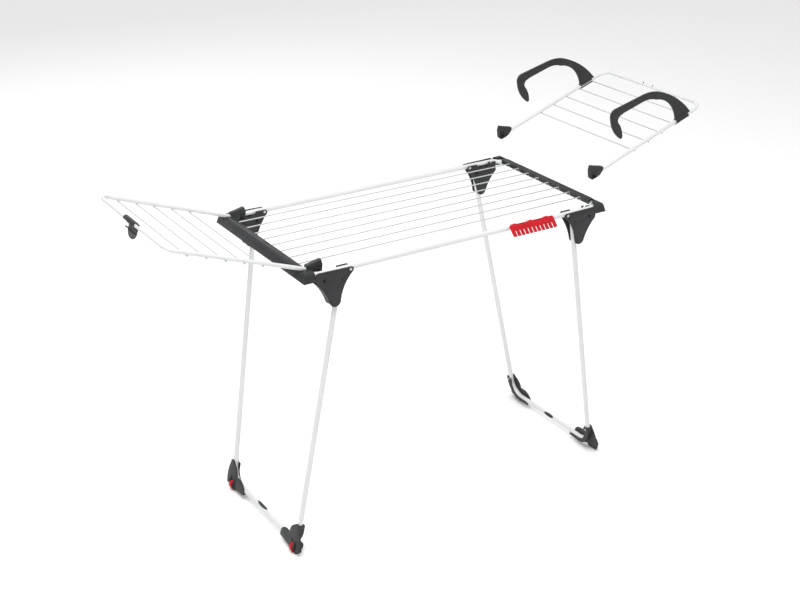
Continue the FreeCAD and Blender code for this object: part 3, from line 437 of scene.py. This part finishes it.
def mesh_piece(name, points, faces, body, slot, material=None):
    """A new piece from points and faces, in its slot's finish unless it is given another."""
    mesh = bpy.data.meshes.new(name)
    mesh.from_pydata(points, [], faces)
    mesh.validate()
    obj = bpy.data.objects.new(name, mesh)
    bpy.context.scene.collection.objects.link(obj)
    dress(obj)
    own_piece(obj, body, material or FINISH[slot])


def nugget(centre, along, up, length, width, height):
    """Points and faces of one rippled weld bead."""
    across = along.cross(up).normalized()
    rings, around = 9, 14
    ring_swell, roughness, patch = 0.10, 0.12, 3.0
    points, faces = [], []
    for i in range(rings):
        t = math.cos(math.pi * (i + 0.5) / rings)
        size = math.sqrt(1 - t * t) * (1 + ring_swell * math.cos(math.pi * i * 1.5))
        for j in range(around):
            turn = 2 * math.pi * j / around
            spot = (centre + Vector((t, math.cos(turn), math.sin(turn))) * 0.7) * patch
            ripple = 1 + roughness * noise.noise(spot)
            offset = along * (t * length) + across * (math.cos(turn) * width * size * ripple)
            points.append(centre + offset + up * (math.sin(turn) * height * size * ripple))
    for i in range(rings - 1):
        for j in range(around):
            k = (j + 1) % around
            faces.append((i * around + j, i * around + k, (i + 1) * around + k, (i + 1) * around + j))
    faces.append(tuple(range(around))[::-1])
    faces.append(tuple((rings - 1) * around + j for j in range(around)))
    return points, faces


def join_parts(parts):
    """Several (points, faces) as one."""
    points, faces = [], []
    for more_points, more_faces in parts:
        start = len(points)
        points += more_points
        faces += [tuple(start + i for i in face) for face in more_faces]
    return points, faces


def screw_face(centre, normal, radius, turn):
    """Domed screw face with a cross recess, over the flat head of a CAD screw."""
    cells, arm, half_width = 22, 0.62, 0.15
    depth, dome, lift, skirt = 0.55 * MM, 0.35 * MM, 0.33 * MM, 0.44 * MM
    side = normal.orthogonal().normalized()
    side.rotate(Matrix.Rotation(turn, 3, normal))
    other = normal.cross(side)
    points, faces = [], []
    for i in range(cells + 1):
        for j in range(cells + 1):
            u, v = 2 * i / cells - 1, 2 * j / cells - 1
            x, y = u * math.sqrt(1 - v * v / 2), v * math.sqrt(1 - u * u / 2)
            reach = math.hypot(x, y)
            near, far = sorted((abs(x), abs(y)))
            in_cross = near < half_width and far < arm
            height = dome * (1 - reach * reach) - (depth if in_cross else 0.0)
            points.append(centre + (side * x + other * y) * radius + normal * (height + lift))
    row = cells + 1
    for i in range(cells):
        for j in range(cells):
            faces.append((i * row + j, (i + 1) * row + j, (i + 1) * row + j + 1, i * row + j + 1))
    border = [i * row for i in range(row)] + [cells * row + j for j in range(1, row)]
    border += [i * row + cells for i in range(cells - 1, -1, -1)] + list(range(cells - 1, 0, -1))
    base = len(points)
    points += [points[k] - normal * skirt for k in border]
    for n, k in enumerate(border):
        m = (n + 1) % len(border)
        faces.append((k, base + n, base + m, border[m]))
    faces.append(tuple(base + n for n in range(len(border))))
    return points, faces


# moulded rims, each with how far it is inside the outline, and its radius
X, Y, Z = Vector((1, 0, 0)), Vector((0, 1, 0)), Vector((0, 0, 1))
OUTER_BRACKET_RIM = (3.2 * MM, 0.7 * MM)
INNER_BRACKET_RIM = (2.4 * MM, 0.5 * MM)
CLIP_RIM = (2.0 * MM, 0.5 * MM)
HOOK_RIM = (2.4 * MM, 0.7 * MM)
HOLDER_RIM = (1.5 * MM, 0.45 * MM)
HOLDER_SLOPE = math.radians(45.0)
for side in ("left", "right"):
    for end, way in (("front", -1), ("back", 1)):
        rim(f"leg_bracket_{side}_{end}_outer", [Y * way], *OUTER_BRACKET_RIM)
        rim(f"leg_bracket_{side}_{end}_inner", [Y * -way], *INNER_BRACKET_RIM)
        rim(f"{side}_wing_clip_{end}", [Y * -way], *CLIP_RIM)
for end in ("front", "back"):
    rim(f"hook_{end}", [Y, -Y], *HOOK_RIM)
rim("sock_holder", [(0, -math.sin(HOLDER_SLOPE), math.cos(HOLDER_SLOPE))], *HOLDER_RIM)
rim("left_wing_latch", [-X], *CLIP_RIM)

# ribs along the crown of the end bars: millimetres inboard of the bar's outer edge, and below its top
RIBS = ((11.5, 1.1), (20.5, 0.35))
RIB_HALF_LENGTH, RIB_STEP, RIB_RADIUS = 225, 25, 0.6 * MM
for side, out in (("left", -1), ("right", 1)):
    low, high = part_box(f"end_bar_{side}")
    edge = high.x if out > 0 else low.x
    runs = []
    for inboard, below in RIBS:
        x, z = edge - out * inboard * MM, high.z - below * MM
        stations = range(-RIB_HALF_LENGTH, RIB_HALF_LENGTH + 1, RIB_STEP)
        runs.append([Vector((x, y * MM, z)) for y in stations])
    bead(f"end_bar_{side}_ribs", runs, RIB_RADIUS, "frame", "dark_plastic", closed=False)

# welds: frame wires on the end tubes, and wing wires under the wings' rails
TUBE_RADIUS, RAIL_RADIUS, WIRE_RADIUS = 8 * MM, 6 * MM, 1.8 * MM
FRAME_WELD = (4.2 * MM, 2.6 * MM, 1.3 * MM)  # half length, half width and height
WING_WELD = (3.8 * MM, 2.5 * MM, 1.2 * MM)
rail_low, rail_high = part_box("front_rail_tube")
parts = []
for wire in islands("frame_wires"):
    low, high = corners_of(wire)
    middle = (low + high) / 2
    for x in (rail_low.x + TUBE_RADIUS, rail_high.x - TUBE_RADIUS):
        seat = Vector((x, middle.y, low.z))
        parts.append(nugget(seat, X, Z, *FRAME_WELD))
mesh_piece("frame_welds", *join_parts(parts), "frame", "coated_wire")
for side in ("left", "right"):
    wires = [corners_of(points) for points in islands(f"{side}_wing_wires")]
    middles = sorted(((low + high) / 2 for low, high in wires), key=lambda p: p.x)
    run = (middles[-1] - middles[0]).normalized()
    up = run.cross(Y)
    up = up if up.z > 0 else -up
    tube_low, tube_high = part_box(f"{side}_wing_tube")
    parts = []
    for middle in middles:
        for y in (tube_low.y + RAIL_RADIUS, tube_high.y - RAIL_RADIUS):
            seat = Vector((middle.x, y, middle.z)) + up * WIRE_RADIUS
            parts.append(nugget(seat, Y, up, *WING_WELD))
    mesh_piece(f"{side}_wing_welds", *join_parts(parts), f"{side}_wing", "coated_wire")

# cross-recessed faces of the bracket screws, a little smaller than their heads
FACE_SHARE = 0.97
draw = random.Random(7)
parts = []
for screw in islands("bracket_screws"):
    low, high = corners_of(screw)
    middle = (low + high) / 2
    way = math.copysign(1, middle.y)
    face = Vector((middle.x, high.y if way > 0 else low.y, middle.z))
    radius = (high.x - low.x) / 2 * FACE_SHARE
    parts.append(screw_face(face, Y * way, radius, draw.uniform(0, math.pi)))
mesh_piece("bracket_screw_faces", *join_parts(parts), "frame", "steel_pin", BLACK_STEEL)

# ---------------------------------------------------------------- floor, light and camera

FLOOR_HALF = 40.0
FLOOR_DROP = 0.5 * MM  # keeps the floor clear of the soles of the feet

floor_mesh = bpy.data.meshes.new("floor")
floor_corners = [(x * FLOOR_HALF, y * FLOOR_HALF, 0) for x, y in ((-1, -1), (1, -1), (1, 1), (-1, 1))]
floor_mesh.from_pydata(floor_corners, [], [(0, 1, 2, 3)])
floor = bpy.data.objects.new("floor", floor_mesh)
floor.location.z = -FLOOR_DROP
bpy.context.scene.collection.objects.link(floor)
floor_mesh.materials.append(floor_finish())


def studio_world():
    """Soft overhead tent: bright above, pale grey down to the horizon."""
    world = bpy.data.worlds.new("studio")
    world.use_nodes = True
    nodes, links = world.node_tree.nodes, world.node_tree.links
    direction = nodes.new("ShaderNodeTexCoord")
    split = nodes.new("ShaderNodeSeparateXYZ")
    ramp = nodes.new("ShaderNodeValToRGB")
    links.new(direction.outputs["Generated"], split.inputs["Vector"])
    links.new(split.outputs["Z"], ramp.inputs["Fac"])
    links.new(ramp.outputs["Color"], nodes["Background"].inputs["Color"])
    horizon, overhead, lower_part = 0.50, 1.10, 0.45
    ramp.color_ramp.elements[0].color = (horizon, horizon, horizon, 1.0)
    ramp.color_ramp.elements[1].color = (overhead, overhead, overhead, 1.0)
    middle = ramp.color_ramp.elements.new(lower_part)
    middle.color = (horizon, horizon, horizon, 1.0)
    bpy.context.scene.world = world


studio_world()


MIDDLE = Vector((0, 0, 0.6))  # of the rack, where the lights are aimed


def softbox(name, place, size, power):
    """A square area light aimed at the middle of the rack."""
    light = bpy.data.lights.new(name, "AREA")
    light.size = size
    light.energy = power
    obj = bpy.data.objects.new(name, light)
    obj.location = place
    obj.rotation_euler = (MIDDLE - Vector(place)).to_track_quat("-Z", "Y").to_euler()
    bpy.context.scene.collection.objects.link(obj)


softbox("key", (-1.6, -1.4, 4.6), 3.0, 150.0)
softbox("fill", (3.5, -1.5, 2.6), 3.0, 16.0)
softbox("back", (0.5, 4.4, 3.6), 3.0, 45.0)

YAW, PITCH, ROLL = 0.5634, 0.4303, 0.0012
CAMERA_PLACE = (-2.1722, -3.3368, 2.4533)
ahead = Vector((math.sin(YAW) * math.cos(PITCH), math.cos(YAW) * math.cos(PITCH), -math.sin(PITCH)))
right = Vector((math.cos(YAW), -math.sin(YAW), 0))
above = right.cross(ahead)
axes = Matrix((right, above, -ahead)).transposed() @ Matrix.Rotation(ROLL, 3, "Z")
camera_data = bpy.data.cameras.new("camera")
camera_data.lens = 61.61
camera_data.sensor_width = 36.0
camera_data.clip_end = 60.0
camera = bpy.data.objects.new("camera", camera_data)
camera.matrix_world = Matrix.Translation(CAMERA_PLACE) @ axes.to_4x4()
bpy.context.scene.collection.objects.link(camera)
bpy.context.scene.camera = camera
bpy.context.scene.view_settings.view_transform = "Standard"
